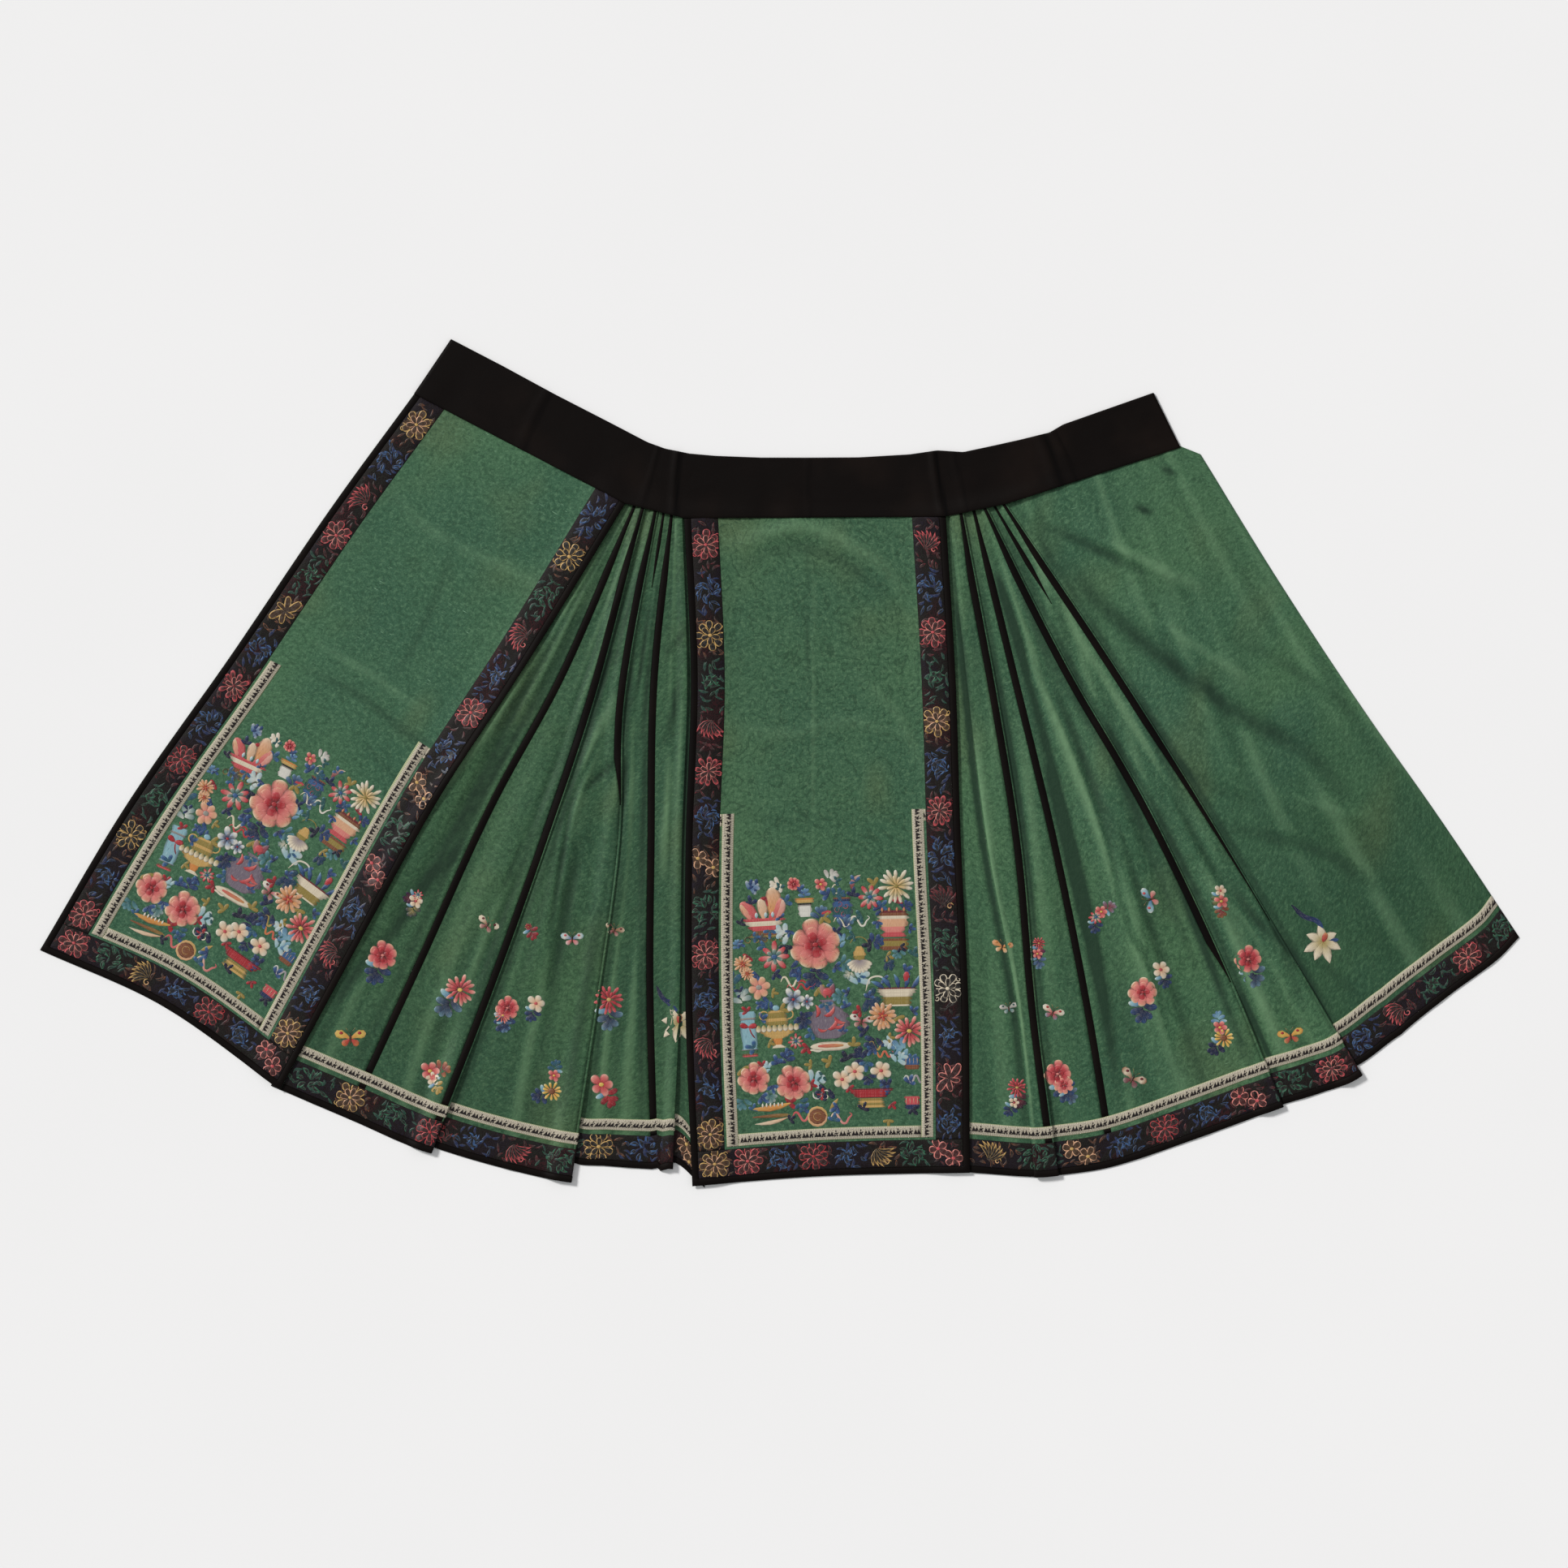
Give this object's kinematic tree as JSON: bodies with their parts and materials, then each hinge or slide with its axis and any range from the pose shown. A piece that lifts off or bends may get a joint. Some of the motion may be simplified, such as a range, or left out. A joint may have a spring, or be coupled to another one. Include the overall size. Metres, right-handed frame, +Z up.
{
  "type": "embroidered pleated wrap skirt, laid flat",
  "caption": "Pleated wrap skirt of green silk damask laid out flat: satin waistband, embroidered panels, striped gores and brocade borders.",
  "frame": {"origin": "middle of the bottom of the whole skirt's box, on the surface that it lies on", "axes": "+X along the waistband towards the plain panel, +Y from the hem towards the waistband, +Z up from the surface"},
  "size_m": [1.9676, 1.1288, 0.0117],
  "materials": {
    "silk_damask": "satin",
    "black_satin": "satin",
    "brocade": "matte",
    "woven_ribbon": "matte",
    "embroidery_silk": "satin"
  },
  "bodies": {
    "root": {"waistband": "black_satin", "panel_left_ground": "silk_damask", "panel_left_binding": "black_satin", "panel_left_brocade_left": "brocade", "panel_left_brocade_bottom": "brocade", "panel_left_brocade_right": "brocade", "panel_left_ribbon": "woven_ribbon", "panel_centre_ground": "silk_damask", "panel_centre_binding": "black_satin", "panel_centre_brocade_left": "brocade", "panel_centre_brocade_bottom": "brocade", "panel_centre_brocade_right": "brocade", "panel_centre_ribbon": "woven_ribbon", "gore_left_1": "silk_damask", "gore_left_2": "silk_damask", "gore_left_3": "silk_damask", "gore_left_4": "silk_damask", "gore_left_5": "silk_damask", "stripe_left_1": "black_satin", "stripe_left_2": "black_satin", "stripe_left_3": "black_satin", "stripe_left_4": "black_satin", "stripe_left_5": "black_satin", "hem_left_binding": "black_satin", "hem_left_brocade": "brocade", "hem_left_ribbon": "woven_ribbon", "gore_right_1": "silk_damask", "gore_right_2": "silk_damask", "gore_right_3": "silk_damask", "gore_right_4": "silk_damask", "panel_plain_ground": "silk_damask", "stripe_right_1": "black_satin", "stripe_right_2": "black_satin", "stripe_right_3": "black_satin", "stripe_right_4": "black_satin", "stripe_right_5": "black_satin", "hem_right_binding": "black_satin", "hem_right_brocade": "brocade", "hem_right_ribbon": "woven_ribbon"}
  },
  "joints": []
}
